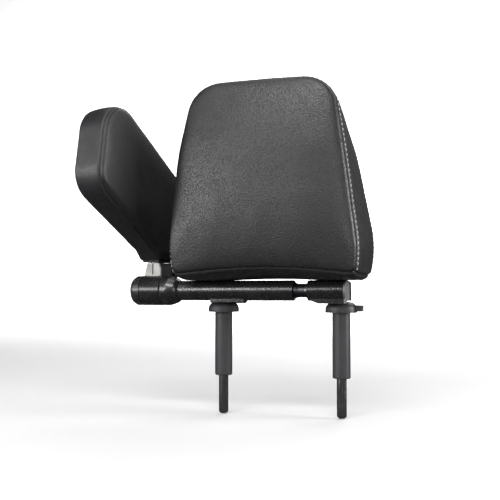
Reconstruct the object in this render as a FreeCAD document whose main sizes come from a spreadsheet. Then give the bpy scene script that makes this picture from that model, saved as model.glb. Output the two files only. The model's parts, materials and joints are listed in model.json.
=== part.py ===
"""Adjustable head restraint with a cross bar and a swinging side support wing.

Millimetres.  +X runs from the wing side to the button side, -Y is the face that meets the
sitter's head and +Z is up.  The origin lies midway between the two posts, on the plane of
the seat top, where the heads of the guide sleeves rest.
"""
import FreeCAD, Part
import math
import os
import Sketcher

Vector = FreeCAD.Vector

DIMENSIONS = {
    # posts and the guide sleeves that hold them
    "post_offset": 76.0,
    "post_radius": 6.0,
    "post_bottom": -128.0,
    "post_top": 195.0,
    "post_bend": 35.0,
    "post_tip": 2.0,
    "guide_radius": 11.0,
    "guide_length": 80.0,
    "guide_head_radius": 19.5,
    "guide_head_height": 13.0,
    "guide_head_round": 9.5,
    "guide_clearance": 0.06,
    # height latch
    "notch_pitch": 20.0,
    "notch_height": 4.0,
    "notch_depth": 2.0,
    "latch_low": 2.0,
    "latch_thick": 2.0,
    "latch_gap": 0.3,
    "button_travel": 3.0,
    "button_reach": 27.0,
    "button_half_width": 7.0,
    "button_top": 9.0,
    # cushion
    "head_bottom": 41.0,
    "head_waist": 125.0,
    "head_top": 281.0,
    "head_bottom_half": 116.0,
    "head_waist_half": 119.0,
    "head_top_half": 87.0,
    "head_front": 88.0,
    "head_back": 35.0,
    "head_crown": 50.0,
    "head_corner": 22.0,
    "head_rim": 18.0,
    "cover_thick": 1.5,
    "seam_front": 75.0,
    "seam_rear": 16.0,
    "seam_bottom": 58.0,
    "core_half": 86.0,
    "core_bottom": 62.0,
    "core_top": 206.0,
    "core_slope": 24.0,
    "core_front": 22.0,
    "core_rear": 18.0,
    "core_wall": 4.0,
    # cross bar and its clamps
    "bar_depth": 22.0,
    "bar_height": 27.0,
    "tube_radius": 12.5,
    "tube_bore": 10.0,
    "tube_left": 126.0,
    "tube_right": 22.7,
    "neck_radius": 9.25,
    "clamp_inner": 40.3,
    "clamp_outer": 84.3,
    "clamp_plane": 2.0,
    "clamp_slit": 0.8,
    "clamp_rear": 10.0,
    "clamp_lip": 3.2,
    "liner_thick": 1.2,
    "end_plate": 2.5,
    "clamp_screw_x": 56.0,
    "clamp_screw_rise": 8.0,
    # friction hub
    "hub_radius": 18.85,
    "casting_left": 148.2,
    "casting_shoulder": 139.6,
    "disc_thick": 1.2,
    "disc_radius": 17.5,
    "collar_right": 149.4,
    "collar_left": 177.4,
    "collar_recess": 5.0,
    "collar_recess_radius": 14.5,
    "bush_radius": 9.0,
    "spindle_radius": 6.0,
    "thread_radius": 5.0,
    "knob_right": 177.8,
    "knob_left": 190.2,
    "knob_radius": 18.8,
    "knob_end_radius": 16.0,
    "insert_radius": 8.0,
    "grip_groove": 1.0,
    "grip_depth": 1.3,
    "running_gap": 0.06,
    # arm of the wing
    "arm_x": 165.9,
    "arm_y": 14.0,
    "arm_top": 62.5,
    "arm_half_low": 12.1,
    "arm_half_top": 9.5,
    "arm_half_depth": 6.5,
    "tenon_half": 6.3,
    "neck_foot": 10.5,
    "pin_radius": 5.0,
    "pin_top": 108.0,
    # side wing, in its own frame: the yaw pin is the local Z axis
    "wing_flare": 10.0,
    "wing_inner": 17.0,
    "wing_outer": 23.0,
    "wing_bottom": 63.5,
    "wing_rim": 8.5,
    "board_inset": 12.6,
    "board_outer": 14.5,
    "board_inner": 10.5,
    "seam_inner": 9.0,
    "seam_outer": 12.0,
    "trim_height": 2.5,
    "plate_rise": 27.0,
    "plate_above_pin": 40.0,
    "plate_half": 24.0,
    "plate_thick": 3.0,
}

POST_NOTCHES = 4
GRIP_GROOVES = 22
X_AXIS = Vector(1, 0, 0)
Y_AXIS = Vector(0, 1, 0)
Z_AXIS = Vector(0, 0, 1)
ALONG = {
    "x": FreeCAD.Rotation(Y_AXIS, 90),
    "y": FreeCAD.Rotation(X_AXIS, -90),
    "z": FreeCAD.Rotation(),
}

doc = FreeCAD.newDocument("head_restraint")
sheet = doc.addObject("Spreadsheet::Sheet", "dims")
for row, (alias, value) in enumerate(DIMENSIONS.items(), start=1):
    sheet.set(f"A{row}", alias)
    sheet.set(f"B{row}", str(value))
    sheet.setAlias(f"B{row}", alias)
doc.recompute()


class Size:
    """A length with its present value and the sheet expression that gives it."""

    def __init__(self, value, text):
        self.value = float(value)
        self.text = text

    @staticmethod
    def of(thing):
        return thing if isinstance(thing, Size) else Size(thing, repr(float(thing)))

    def __add__(self, other):
        other = Size.of(other)
        return Size(self.value + other.value, f"({self.text} + {other.text})")

    def __sub__(self, other):
        other = Size.of(other)
        return Size(self.value - other.value, f"({self.text} - {other.text})")

    def __rsub__(self, other):
        return Size.of(other) - self

    def __mul__(self, factor):
        return Size(self.value * factor, f"({self.text} * {factor})")

    def __neg__(self):
        return Size(-self.value, f"(0 - {self.text})")

    __radd__ = __add__
    __rmul__ = __mul__


def dim(alias):
    return Size(sheet.get(alias), f"dims.{alias}")


def bind(thing, name, size):
    """Tie one property of an object to the sheet."""
    thing.setExpression(name, Size.of(size).text)


def place(thing, corner, along="z"):
    """Put an object's own origin at a corner given as three sizes."""
    start = [Size.of(c) for c in corner]
    thing.Placement = FreeCAD.Placement(Vector(*[c.value for c in start]), ALONG[along])
    for letter, size in zip("xyz", start):
        bind(thing, f"Placement.Base.{letter}", size)
    return thing


# ------------------------------------------------------------------ plain solids
def block(name, low, high):
    thing = doc.addObject("Part::Box", name)
    for side, a, b in zip(("Length", "Width", "Height"), low, high):
        bind(thing, side, Size.of(b) - a)
    return place(thing, low)


def rod(name, radius, length, start, along="z"):
    thing = doc.addObject("Part::Cylinder", name)
    bind(thing, "Radius", radius)
    bind(thing, "Height", length)
    return place(thing, start, along)


def joined(name, *pieces):
    thing = doc.addObject("Part::MultiFuse", name)
    thing.Shapes = list(pieces)
    return thing


def without(name, base, *tools):
    """The base piece with each tool cut out of it."""
    for number, tool in enumerate(tools):
        cut = doc.addObject("Part::Cut", name if number == len(tools) - 1 else f"{name}_{number}")
        cut.Base = base
        cut.Tool = tool
        base = cut
    return base


def within(name, base, tool):
    thing = doc.addObject("Part::Common", name)
    thing.Base = base
    thing.Tool = tool
    return thing


def grouped(name, pieces):
    """Identical pieces that share one node."""
    thing = doc.addObject("Part::Compound", name)
    thing.Links = list(pieces)
    return thing


# ------------------------------------------------------------------ sketched bodies
def sketched(body, role, points, offset=0.0):
    """A closed outline of straight sides on one of the body's own origin planes."""
    sketch = body.newObject("Sketcher::SketchObject", f"{body.Name}_outline")
    plane = next(f for f in body.Origin.OriginFeatures if f.Role == role)
    sketch.AttachmentSupport = [(plane, "")]
    sketch.MapMode = "FlatFace"
    bind(sketch, "AttachmentOffset.Base.z", offset)
    corners = [[Size.of(a), Size.of(b)] for a, b in points]
    spots = [Vector(a.value, b.value, 0) for a, b in corners]
    for number, spot in enumerate(spots):
        following = spots[(number + 1) % len(spots)]
        sketch.addGeometry(Part.LineSegment(spot, following), False)
    for number in range(len(spots)):
        following = (number + 1) % len(spots)
        sketch.addConstraint(Sketcher.Constraint("Coincident", number, 2, following, 1))
    for number, corner in enumerate(corners):
        for kind, size in zip(("DistanceX", "DistanceY"), corner):
            rule = Sketcher.Constraint(kind, -1, 1, number, 1, size.value)
            bind(sketch, f"Constraints[{sketch.addConstraint(rule)}]", size)
    return sketch


def turned(name, points, axis="H_Axis"):
    """A body turned about X (H_Axis) or Z (V_Axis) from an outline on the XZ plane."""
    body = doc.addObject("PartDesign::Body", name)
    turn = body.newObject("PartDesign::Revolution", f"{name}_turn")
    turn.Profile = sketched(body, "XZ_Plane", points)
    turn.ReferenceAxis = (turn.Profile[0], [axis])
    turn.Angle = 360
    body.Tip = turn
    return body


def on_bar(body):
    """Move a body turned about X onto the axis of the cross bar."""
    return place(body, (0, -dim("bar_depth"), dim("bar_height")))


def extruded(name, role, points, length, offset=0.0):
    """A body padded from an outline along the normal of its plane."""
    body = doc.addObject("PartDesign::Body", name)
    pad = body.newObject("PartDesign::Pad", f"{name}_pad")
    pad.Profile = sketched(body, role, points, offset)
    bind(pad, "Length", length)
    body.Tip = pad
    return body


def rounded(body, radius, wanted, kind="Fillet"):
    """Round or chamfer the edges of a body that a test picks out."""
    doc.recompute()
    base = body.Tip
    names = [f"Edge{n}" for n, edge in enumerate(base.Shape.Edges, 1) if wanted(edge)]
    feature = body.newObject(f"PartDesign::{kind}", f"{body.Name}_{kind}")
    feature.Base = (base, names)
    bind(feature, "Radius" if kind == "Fillet" else "Size", radius)
    body.Tip = feature
    return body


def middle(edge):
    return edge.valueAt((edge.FirstParameter + edge.LastParameter) / 2)


def runs_along(edge, axis):
    ends = edge.valueAt(edge.LastParameter) - edge.valueAt(edge.FirstParameter)
    return ends.Length > 0.1 and abs(ends.normalize().dot(axis)) > 0.999


def lies_in(edge, axis, level):
    spots = [vertex.Point for vertex in edge.Vertexes] + [middle(edge)]
    return all(abs(spot.dot(axis) - level) < 0.01 for spot in spots)


def is_ring(edge, x, radius):
    """A full circle round the X axis, at one place and of one radius."""
    curve = edge.Curve
    round_one = isinstance(curve, Part.Circle) and abs(curve.Radius - radius) < 0.01
    return round_one and abs(curve.Center.x - x) < 0.01


# ------------------------------------------------------------------ the nodes
nodes = {}


def keep(name, thing):
    """Register a finished sub-part under the name of its node."""
    thing.Label = name
    nodes[name] = thing
    return thing


def placed(name, piece, placement):
    """The same solid somewhere else, so that one form serves as a piece and as a tool."""
    thing = grouped(name, [piece])
    thing.Placement = placement
    return thing


def socket_screw(name, shank, length, head, head_length, spot, rotation):
    """A cap screw and the full form of its hole.

    The head's underside is at the spot and the shank runs down local -Z.
    """
    body = joined(
        f"{name}_solid",
        rod(f"{name}_head", head, head_length, (0, 0, 0)),
        rod(f"{name}_shank", shank, length, (0, 0, -Size.of(length))),
    )
    socket = doc.addObject("Part::Prism", f"{name}_socket")
    socket.Polygon = 6
    bind(socket, "Circumradius", Size.of(head) * 0.55)
    bind(socket, "Height", Size.of(head_length))
    place(socket, (0, 0, Size.of(head_length) * 0.4))
    screw = without(name, body, socket)
    screw.Placement = FreeCAD.Placement(Vector(*[Size.of(c).value for c in spot]), rotation)
    return screw, placed(f"{name}_hole", body, screw.Placement)


def screw_group(name, screws):
    """The node of several screws, and one tool with the form of all their holes."""
    return grouped(name, [s for s, _ in screws]), grouped(f"{name}_holes", [h for _, h in screws])


# ---- guide sleeves, latch and release button
def guide_sleeve(name, side):
    bore = dim("post_radius") + dim("guide_clearance")
    outline = [
        (bore, -dim("guide_length")),
        (dim("guide_radius"), -dim("guide_length")),
        (dim("guide_radius"), 0),
        (dim("guide_head_radius"), 0),
        (dim("guide_head_radius"), dim("guide_head_height")),
        (bore, dim("guide_head_height")),
    ]
    body = turned(name, outline, "V_Axis")
    top = dim("guide_head_height").value
    rim = dim("guide_head_radius").value
    foot = -dim("guide_length").value
    rounded(
        body,
        dim("guide_head_round"),
        lambda e: lies_in(e, Z_AXIS, top) and e.BoundBox.XLength > rim,
    )
    sleeve = dim("guide_radius").value
    rounded(
        body,
        1.0,
        lambda e: lies_in(e, Z_AXIS, foot) and e.BoundBox.XLength > 2 * sleeve - 1,
        "Chamfer",
    )
    return place(body, (side * dim("post_offset"), 0, 0))


def build_guides():
    keep("guide_sleeve_left", guide_sleeve("guide_left", -1))
    post = dim("post_offset")
    radius = dim("post_radius")
    gap = dim("latch_gap")
    low = dim("latch_low")
    high = low + dim("latch_thick")
    half = dim("button_half_width")
    travel = dim("button_travel")
    plate_left = post - radius - 4.0
    plate_right = post + radius + 9.0
    plate_half = radius + 3.0
    slot = block(
        "latch_slot",
        (plate_left - travel - gap, -plate_half - gap, low - gap),
        (plate_right + gap, plate_half + gap, high + gap),
    )
    pocket = block(
        "button_pocket",
        (plate_right - travel - 0.5, -half - gap, low - 0.8),
        (post + dim("guide_head_radius") + 1.0, half + gap, dim("button_top") + gap),
    )
    spring_axis = dim("button_top") * 0.8
    spring_left = post + radius + 2.0
    bore = rod("spring_bore", 2.0, plate_right - spring_left, (spring_left, 0, spring_axis), "x")
    keep(
        "guide_sleeve_right",
        without("guide_right", guide_sleeve("guide_right_blank", 1), slot, pocket, bore),
    )

    plate = block("plate_blank", (plate_left, -plate_half, low), (plate_right, plate_half, high))
    window = block(
        "plate_window",
        (post - radius - gap, -radius - 0.6, low - 1.0),
        (post + radius + travel + gap, radius + 0.6, high + 1.0),
    )
    keep("latch_plate", without("latch_plate_cut", plate, window))

    reach = post + dim("button_reach")
    outline = [
        (plate_right, low - 0.5),
        (reach, low - 0.5),
        (reach, dim("button_top")),
        (plate_right, dim("button_top")),
    ]
    button = extruded("button_body", "XZ_Plane", outline, half * 2, -half)
    end = reach.value
    rounded(button, 2.0, lambda e: lies_in(e, X_AXIS, end))
    ribs = [
        block(
            f"button_rib_{n}",
            (reach - 0.7, -half - 1.0, low + 1.0 + 1.6 * n),
            (reach + 1.0, half + 1.0, low + 1.7 + 1.6 * n),
        )
        for n in range(3)
    ]
    keep("release_button", without("button_cut", button, *ribs))

    coil = doc.addObject("Part::Helix", "spring_line")
    bind(coil, "Pitch", 1.6)
    bind(coil, "Height", plate_right - spring_left - 0.8)
    bind(coil, "Radius", 1.3)
    wire = doc.addObject("Part::Circle", "spring_wire")
    wire.Radius = 0.28
    wire.Placement = FreeCAD.Placement(Vector(1.3, 0, 0), FreeCAD.Rotation(X_AXIS, 90))
    spring = doc.addObject("Part::Sweep", "spring_sweep")
    spring.Sections = [wire]
    spring.Spine = (coil, [])
    spring.Solid = True
    spring.Frenet = True
    place(spring, (spring_left + 0.4, 0, spring_axis), "x")
    keep("button_spring", spring)


# ---- bent post armature
def build_armature():
    radius = dim("post_radius")
    bend = dim("post_bend")
    top = dim("post_top")
    low = dim("post_bottom")
    tip = dim("post_tip")
    pieces = []
    for name, side in (("left", -1), ("right", 1)):
        x = side * dim("post_offset")
        leg_low = low + tip
        pieces.append(rod(f"leg_{name}", radius, top - bend - leg_low, (x, 0, leg_low)))
        cone = doc.addObject("Part::Cone", f"tip_{name}")
        bind(cone, "Radius1", radius - tip)
        bind(cone, "Radius2", radius)
        bind(cone, "Height", tip)
        pieces.append(place(cone, (x, 0, low)))
        elbow = doc.addObject("Part::Torus", f"elbow_{name}")
        bind(elbow, "Radius1", bend)
        bind(elbow, "Radius2", radius)
        elbow.Angle3 = 90
        place(elbow, (x - side * bend, 0, top - bend))
        spin = 0 if side > 0 else 90
        turn = FreeCAD.Rotation(X_AXIS, 90).multiply(FreeCAD.Rotation(Z_AXIS, spin))
        elbow.Placement = FreeCAD.Placement(elbow.Placement.Base, turn)
        pieces.append(elbow)
    span = dim("post_offset") - bend
    pieces.append(rod("crosspiece", radius, span * 2, (-span, 0, top), "x"))
    bent = joined("armature_blank", *pieces)
    notches = [
        block(
            f"notch_{n}",
            (
                dim("post_offset") - radius - 1.0,
                -radius - 1.0,
                dim("latch_low") - 1.0 - dim("notch_pitch") * n,
            ),
            (
                dim("post_offset") - radius + dim("notch_depth"),
                radius + 1.0,
                dim("latch_low") - 1.0 + dim("notch_height") - dim("notch_pitch") * n,
            ),
        )
        for n in range(POST_NOTCHES)
    ]
    return keep("post_armature", without("armature", bent, *notches))


# ---- cushion: core shells, foam and cover
def head_block(name, inset):
    """The cushion's outer form, or the same form smaller all round by the inset."""
    low = dim("head_bottom") + inset
    waist = dim("head_waist")
    high = dim("head_top") - inset
    low_half = dim("head_bottom_half") - inset
    waist_half = dim("head_waist_half") - inset
    top_half = dim("head_top_half") - inset
    outline = [
        (-low_half, low),
        (low_half, low),
        (waist_half, waist),
        (top_half, high),
        (-top_half, high),
        (-waist_half, waist),
    ]
    depth = dim("head_front") + dim("head_back") - Size.of(inset) * 2
    back = dim("head_back") - inset
    body = extruded(name, "XZ_Plane", outline, depth, -back)
    level = waist.value
    rounded(body, dim("head_crown") - inset, lambda e: runs_along(e, Y_AXIS) and middle(e).z > level + 9)
    rounded(body, dim("head_corner") - inset, lambda e: runs_along(e, Y_AXIS) and middle(e).z < level - 9)
    rounded(body, dim("head_crown"), lambda e: runs_along(e, Y_AXIS) and abs(middle(e).z - level) < 1)
    front_face = back.value - depth.value
    for face in (front_face, back.value):
        rounded(body, dim("head_rim") - inset, lambda e, f=face: lies_in(e, Y_AXIS, f))
    return body


def core_half_body(name, near, far):
    """One half of the moulded core, from its parting plane out to its flat face."""
    half = dim("core_half")
    slope = dim("core_slope")
    outline = [
        (-half, dim("core_bottom")),
        (half, dim("core_bottom")),
        (half, dim("core_top") - slope),
        (half - slope, dim("core_top")),
        (slope - half, dim("core_top")),
        (-half, dim("core_top") - slope),
    ]
    return extruded(name, "XZ_Plane", outline, Size.of(far) - near, -Size.of(far))


def build_cushion(armature):
    front = core_half_body("core_front_blank", -dim("core_front"), 0)
    rear = core_half_body("core_rear_blank", 0, dim("core_rear"))
    wall = dim("core_wall")
    radius = dim("post_radius")
    inner = dim("post_offset") - radius - wall
    low = dim("core_bottom") + wall
    high = dim("post_top") - radius - wall
    hollow_front = block(
        "hollow_front", (-inner, wall - dim("core_front"), low), (inner, 1.0, high)
    )
    hollow_rear = block("hollow_rear", (-inner, -1.0, low), (inner, dim("core_rear") - wall, high))
    bosses = []
    screws = []
    rear_face = dim("core_rear")
    for number, (x, z) in enumerate(((-1, 0), (1, 0), (-1, 1), (1, 1))):
        boss_x = x * (inner - 7.0)
        boss_z = low + 8.0 + (high - low - 16.0) * z
        spot = (boss_x, -dim("core_front"), boss_z)
        bosses.append(rod(f"boss_{number}", 6.0, dim("core_front") + rear_face, spot, "y"))
        screws.append(
            socket_screw(
                f"core_screw_{number}", 2.0, rear_face + 12.0, 3.6, 2.4,
                (boss_x, rear_face - 2.4, boss_z), FreeCAD.Rotation(X_AXIS, -90),
            )
        )
    screw_set, screw_holes = screw_group("core_screw_set", screws)
    keep("core_screws", screw_set)
    boss_set = joined("boss_set", *bosses)
    for name, blank, hollow in (
        ("core_shell_front", front, hollow_front),
        ("core_shell_rear", rear, hollow_rear),
    ):
        shell = without(f"{name}_tray", blank, hollow)
        inside = within(f"{name}_bosses", boss_set, blank)
        filled = joined(f"{name}_filled", shell, inside)
        keep(name, without(f"{name}_cut", filled, armature, screw_holes))

    thick = dim("cover_thick")
    outer = head_block("head_outer", 0.0)
    inner_form = head_block("head_inner", thick)
    bezel_radius = radius + 4.5
    bezels = []
    for name, side in (("left", -1), ("right", 1)):
        x = side * dim("post_offset")
        ring = rod(f"bezel_{name}", bezel_radius, 7.0, (x, 0, dim("head_bottom") - 1.0))
        hole = rod(f"bezel_hole_{name}", radius + 0.05, 9.0, (x, 0, dim("head_bottom") - 2.0))
        bezels.append(without(f"bezel_ring_{name}", ring, hole))
    keep("post_bezels", grouped("bezel_set", bezels))
    openings = []
    for name, side in (("left", -1), ("right", 1)):
        x = side * dim("post_offset")
        openings.append(rod(f"bezel_seat_{name}", bezel_radius, 8.0, (x, 0, dim("head_bottom") - 2.0)))
        openings.append(rod(f"post_way_{name}", radius + 0.2, 30.0, (x, 0, dim("head_bottom") - 2.0)))
    way = joined("post_ways", *openings)
    keep("headrest_foam", without("foam_cut", inner_form, front, rear, way))

    skin = without("cover_skin", outer, inner_form, way)
    far = 200.0
    top = 400.0
    seam_front = -dim("seam_front")
    seam_rear = dim("seam_rear")
    seam_bottom = dim("seam_bottom")
    panels = {
        "cover_front": ((-far, -far, 0), (far, seam_front, top)),
        "cover_rear": ((-far, seam_rear, 0), (far, far, top)),
        "cover_gusset": ((-far, seam_front, seam_bottom), (far, seam_rear, top)),
        "cover_underside": ((-far, seam_front, 0), (far, seam_rear, seam_bottom)),
    }
    for name, (low_corner, high_corner) in panels.items():
        keep(name, within(f"{name}_panel", skin, block(f"{name}_zone", low_corner, high_corner)))


# ---- cross bar, jaws and clamps
def bar_rod(name, radius, left, right):
    left = Size.of(left)
    start = (left, -dim("bar_depth"), dim("bar_height"))
    return rod(name, radius, Size.of(right) - left, start, "x")


def grub_screw(name, x, out, drop):
    """A hexagon-socket grub screw, flush with a round surface, pointing at the bar's axis."""
    tilt = math.degrees(math.asin(drop / out))
    turn = FreeCAD.Rotation(X_AXIS, 90).multiply(FreeCAD.Rotation(X_AXIS, tilt))
    body = rod(f"{name}_rod", 2.5, 3.0, (0, 0, 0))
    socket = doc.addObject("Part::Prism", f"{name}_socket")
    socket.Polygon = 6
    bind(socket, "Circumradius", 1.45)
    bind(socket, "Height", 3.0)
    place(socket, (0, 0, 1.2))
    screw = without(name, body, socket)
    outward = turn.multVec(Z_AXIS)
    axis_point = Vector(x, -dim("bar_depth").value, dim("bar_height").value)
    screw.Placement = FreeCAD.Placement(axis_point + outward * (out - 3.2), turn)
    seat = rod(f"{name}_seat", 2.5, 4.0, (0, 0, 0))
    return screw, placed(f"{name}_hole", seat, screw.Placement)


def build_bar():
    tube_radius = dim("tube_radius")
    left = -dim("tube_left")
    right = dim("tube_right")
    bore = dim("tube_bore")
    grubs = [
        grub_screw("tube_grub", 10.0, tube_radius.value, 11.0),
        grub_screw("hub_grub", -142.5, dim("hub_radius").value, 13.3),
    ]
    keep("grub_screws", grouped("grub_set", [screw for screw, _ in grubs]))
    tube_seat, hub_seat = [hole for _, hole in grubs]
    outline = [
        (left, bore),
        (right - 1.2, bore),
        (right, bore + 1.2),
        (right, tube_radius - 0.5),
        (right - 0.5, tube_radius),
        (left, tube_radius),
    ]
    tube = on_bar(turned("tube_body", outline))
    keep("main_tube", without("tube_cut", tube, tube_seat))

    neck = dim("neck_radius")
    jaw_left = dim("clamp_inner")
    inner_bar = [
        (-20.0, 0),
        (-20.0, neck),
        (right + 2.0, neck),
        (right + 6.0, neck - 0.9),
        (jaw_left - 4.0, neck - 0.9),
        (jaw_left - 1.0, neck),
        (jaw_left + 22.0, neck),
        (jaw_left + 22.0, 0),
    ]
    keep("inner_bar", on_bar(turned("inner_bar_body", inner_bar)))
    bush = [(-16.0, neck), (-16.0, bore), (6.0, bore), (6.0, neck)]
    keep("bar_bush", on_bar(turned("bar_bush_body", bush)))
    return hub_seat


def clamp_parts(side):
    """Blank front block, blank rear plate and the tools that both sides share."""
    name = "left" if side < 0 else "right"
    radius = dim("tube_radius")
    axis_y = -dim("bar_depth")
    axis_z = dim("bar_height")
    ends = sorted((side * dim("clamp_inner"), side * dim("clamp_outer")), key=lambda s: s.value)
    split = -dim("clamp_plane")
    front = block(
        f"clamp_front_{name}", (ends[0], axis_y, axis_z - radius), (ends[1], split, axis_z + radius)
    )
    plate_ends = list(ends)
    if side > 0:
        plate_ends[1] = plate_ends[1] + dim("end_plate")
    slit = split + dim("clamp_slit")
    outline = [
        (slit, axis_z - radius),
        (dim("clamp_rear"), axis_z - radius),
        (dim("clamp_rear"), axis_z + radius - 5.0),
        (dim("clamp_rear") - 3.5, axis_z + radius - 1.5),
        (slit, axis_z + radius - 1.5),
    ]
    rear = extruded(
        f"clamp_rear_{name}", "YZ_Plane", outline, plate_ends[1] - plate_ends[0], plate_ends[0]
    )
    post = rod(
        f"clamp_post_{name}",
        dim("post_radius") + dim("liner_thick"),
        radius * 2 + 20.0,
        (side * dim("post_offset"), 0, axis_z - radius - 10.0),
    )
    screws = []
    for number, rise in enumerate((-1, 1)):
        spot = (
            side * dim("clamp_screw_x"),
            dim("clamp_rear") - 3.5,
            axis_z + rise * dim("clamp_screw_rise"),
        )
        screws.append(
            socket_screw(
                f"clamp_screw_{name}_{number}", 2.2, 17.0, 4.0, 4.4, spot,
                FreeCAD.Rotation(X_AXIS, -90),
            )
        )
    return ends, front, rear, post, screws


def post_liner(name, side, half):
    """Half of the soft sleeve between a post and its clamp."""
    thick = dim("liner_thick")
    radius = dim("post_radius")
    low = dim("bar_height") - dim("tube_radius")
    high = dim("bar_height") + dim("tube_radius") - 1.5
    x = side * dim("post_offset")
    outer = rod(f"{name}_outer", radius + thick, high - low, (x, 0, low))
    inner = rod(f"{name}_inner", radius, high - low + 2.0, (x, 0, low - 1.0))
    ring = without(f"{name}_ring", outer, inner)
    reach = radius + thick + 1.0
    split = -dim("clamp_plane")
    if half == "front":
        zone = block(f"{name}_zone", (x - reach, -reach, low - 1.0), (x + reach, split, high + 1.0))
    else:
        gap = split + dim("clamp_slit")
        zone = block(f"{name}_zone", (x - reach, gap, low - 1.0), (x + reach, reach, high + 1.0))
    return within(name, ring, zone)


def build_clamps():
    radius = dim("tube_radius")
    axis_y = -dim("bar_depth")
    axis_z = dim("bar_height")
    split = -dim("clamp_plane")
    liners = [
        post_liner(f"liner_{side}_{half}", side, half)
        for side in (-1, 1)
        for half in ("front", "rear")
    ]
    keep("post_liners", grouped("liner_set", liners))

    ends, front, rear, post, screws = clamp_parts(1)
    screw_set, holes = screw_group("clamp_screws_right_set", screws)
    nose = bar_rod("jaw_nose", radius, ends[0], ends[1])
    lip = extruded(
        "jaw_lip",
        "XZ_Plane",
        [
            (ends[0] + 2.0, axis_z - 6.0),
            (ends[0] + 2.0, axis_z - radius + 1.0),
            (ends[0] + 13.0, axis_z - radius - dim("clamp_lip")),
            (ends[1], axis_z - radius - dim("clamp_lip")),
            (ends[1], axis_z - 6.0),
        ],
        8.0,
        -axis_y - 0.5,
    )
    bar_way = bar_rod("jaw_bore", dim("neck_radius"), ends[0] - 1.0, ends[0] + 22.0)
    jaw = joined("jaw_blank", front, nose, lip)
    keep("jaw_right", without("jaw_cut", jaw, bar_way, post, holes))
    keep("clamp_screws_right", screw_set)
    keep("clamp_plate_right", without("plate_right_cut", rear, post, holes))

    cap_right = ends[1] + dim("end_plate")
    cap_nose = bar_rod("cap_nose", radius - 0.4, ends[1], cap_right)
    cap_back = block(
        "cap_back", (ends[1], axis_y, axis_z - radius + 0.4), (cap_right, split - 0.4, axis_z + radius - 0.4)
    )
    cap_lip = block(
        "cap_lip",
        (ends[1], axis_y - 7.0, axis_z - radius - dim("clamp_lip") + 0.4),
        (cap_right, axis_y + 0.5, axis_z - 6.0),
    )
    keep("jaw_end_plate", joined("cap_plate", cap_nose, cap_back, cap_lip))

    ends, front, rear, post, screws = clamp_parts(-1)
    screw_set, holes = screw_group("clamp_screws_left_set", screws)
    saddle = bar_rod("saddle_round", radius + dim("clamp_lip"), ends[0], ends[1])
    saddle_zone = block(
        "saddle_zone", (ends[0], axis_y - 7.0, axis_z - 30.0), (ends[1], split, axis_z)
    )
    tube_way = bar_rod("saddle_bore", radius, ends[0] - 1.0, ends[1] + 1.0)
    whole = joined("saddle_blank", front, within("saddle_under", saddle, saddle_zone))
    keep("clamp_saddle_left", without("saddle_cut", whole, tube_way, post, holes))
    keep("clamp_screws_left", screw_set)
    keep("clamp_plate_left", without("plate_left_cut", rear, post, holes))


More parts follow.
